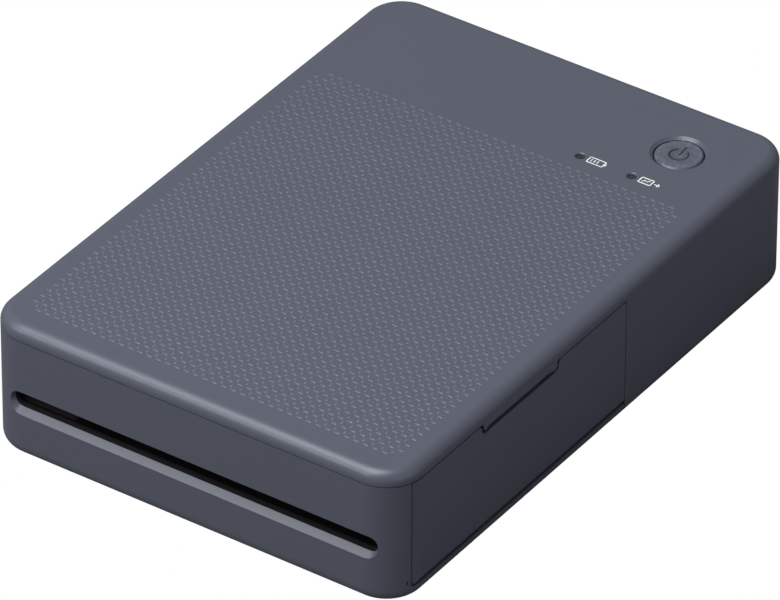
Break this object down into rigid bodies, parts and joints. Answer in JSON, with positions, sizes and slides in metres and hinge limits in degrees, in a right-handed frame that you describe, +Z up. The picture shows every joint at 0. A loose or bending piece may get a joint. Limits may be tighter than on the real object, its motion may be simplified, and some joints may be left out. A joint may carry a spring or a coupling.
{
  "type": "compact photo printer",
  "caption": "Pocket dye-sublimation photo printer in slate grey plastic with a rounded box body, a slot at the front, a round power button on top and a hinged cassette door on the right.",
  "frame": {"origin": "bottom centre of the box round the part, on the surface it stands on", "axes": "front with the print slot faces -Y, the cassette door is on +X, +Z up"},
  "size_m": [0.1022, 0.1458, 0.0329],
  "materials": {
    "shell": "satin slate grey moulded plastic",
    "button": "satin slate grey moulded plastic",
    "dark_plastic": "fine matte black moulded plastic",
    "cassette_plastic": "fine matte dark grey moulded plastic",
    "white_plastic": "natural white moulded acetal",
    "steel": "cold rolled sheet and ground shafts",
    "screw_steel": "zinc plated",
    "aluminium": "extruded, plain",
    "rubber": "ground",
    "ceramic": "glazed alumina",
    "brass": "machined",
    "paper": "coated photo paper, white",
    "film_plum": "thin dye film",
    "film_blue": "thin dye film, used",
    "clear": "clear moulded light guide",
    "board": "green solder mask",
    "chip": "moulded epoxy",
    "wrap": "shrink sleeve",
    "magnet": "nickel plated",
    "cable": "polyimide film"
  },
  "bodies": {
    "case": {"lower_case": "shell", "top_cover": "shell", "door_keepers": "steel", "power_switch": "dark_plastic", "light_guides": "clear", "status_lights": "white_plastic", "exit_guide": "dark_plastic", "left_frame": "steel", "right_frame": "steel", "cross_bars": "steel", "turn_guide": "dark_plastic", "idler_stud": "steel", "feed_motor": "steel", "head_beam": "steel", "beam_screws": "screw_steel", "head_springs": "steel", "head_cable": "cable", "sheet_tray": "cassette_plastic", "tray_lid": "cassette_plastic", "plate_spring": "steel", "ribbon_cassette": "cassette_plastic", "ribbon_film": "film_plum", "battery_pack": "wrap", "main_board": "board", "board_chips": "chip", "board_coils": "chip", "usb_port": "steel", "rubber_feet": "rubber", "case_screws": "screw_steel"},
    "door": {"side_door": "shell", "door_magnets": "magnet"},
    "button": {"power_button": "button"},
    "head": {"heat_sink": "aluminium", "head_pins": "steel", "heater_bar": "ceramic"},
    "platen": {"platen_shaft": "steel", "platen_rubber": "rubber", "platen_gear": "white_plastic"},
    "pick": {"pick_shaft": "steel", "pick_tyres": "rubber", "pick_gear": "white_plastic"},
    "feed": {"feed_roller": "steel", "feed_gear": "white_plastic"},
    "pinch": {"pinch_shaft": "steel", "pinch_rollers": "dark_plastic"},
    "idler": {"idler_gear": "white_plastic"},
    "rotor": {"motor_shaft": "steel", "motor_pinion": "brass"},
    "lift": {"lift_plate": "steel", "sheet_stack": "paper"},
    "supply": {"supply_spool": "white_plastic", "supply_roll": "film_plum"},
    "takeup": {"takeup_spool": "white_plastic", "takeup_roll": "film_blue"}
  },
  "joints": [
    {"name": "door_hinge", "type": "hinge", "parent": "case", "child": "door", "pos_m": [0.0499, -0.029, 0.0051], "axis": [0, 1, 0], "range_deg": [0, 90]},
    {"name": "button_press", "type": "slide", "parent": "case", "child": "button", "axis": [0, 0, -1], "range_m": [0, 0.0004], "stiffness_N_per_m": 1500},
    {"name": "head_lift", "type": "slide", "parent": "case", "child": "head", "axis": [0, 0, 1], "range_m": [0, 0.0012], "deforming": ["head_springs"]},
    {"name": "feed_spin", "type": "hinge", "parent": "case", "child": "feed", "pos_m": [0, 0.015, 0.0134], "axis": [1, 0, 0], "continuous": true},
    {"name": "platen_spin", "type": "hinge", "parent": "case", "child": "platen", "pos_m": [0, -0.016, 0.0134], "axis": [1, 0, 0], "continuous": true},
    {"name": "pick_spin", "type": "hinge", "parent": "case", "child": "pick", "pos_m": [0, -0.0005, 0.0134], "axis": [1, 0, 0], "continuous": true},
    {"name": "idler_spin", "type": "hinge", "parent": "case", "child": "idler", "pos_m": [0, 0.026, 0.0134], "axis": [1, 0, 0], "continuous": true},
    {"name": "rotor_spin", "type": "hinge", "parent": "case", "child": "rotor", "pos_m": [0, 0.034, 0.0134], "axis": [1, 0, 0], "continuous": true},
    {"name": "pinch_spin", "type": "hinge", "parent": "case", "child": "pinch", "pos_m": [0, 0.015, 0.01905], "axis": [1, 0, 0], "continuous": true},
    {"name": "plate_lift", "type": "hinge", "parent": "case", "child": "lift", "pos_m": [0.0015, -0.061, 0.0048], "axis": [1, 0, 0], "range_deg": [0, 1.8]},
    {"name": "supply_spin", "type": "hinge", "parent": "case", "child": "supply", "pos_m": [0, 0.0012, 0.0236], "axis": [1, 0, 0], "continuous": true},
    {"name": "takeup_spin", "type": "hinge", "parent": "case", "child": "takeup", "pos_m": [0, -0.0314, 0.0236], "axis": [1, 0, 0], "continuous": true}
  ],
  "couplings": [
    {"joint": "platen_spin", "follows": "feed_spin", "ratio": 1},
    {"joint": "pick_spin", "follows": "feed_spin", "ratio": -0.63158},
    {"joint": "idler_spin", "follows": "feed_spin", "ratio": -1.2},
    {"joint": "rotor_spin", "follows": "feed_spin", "ratio": 2}
  ]
}
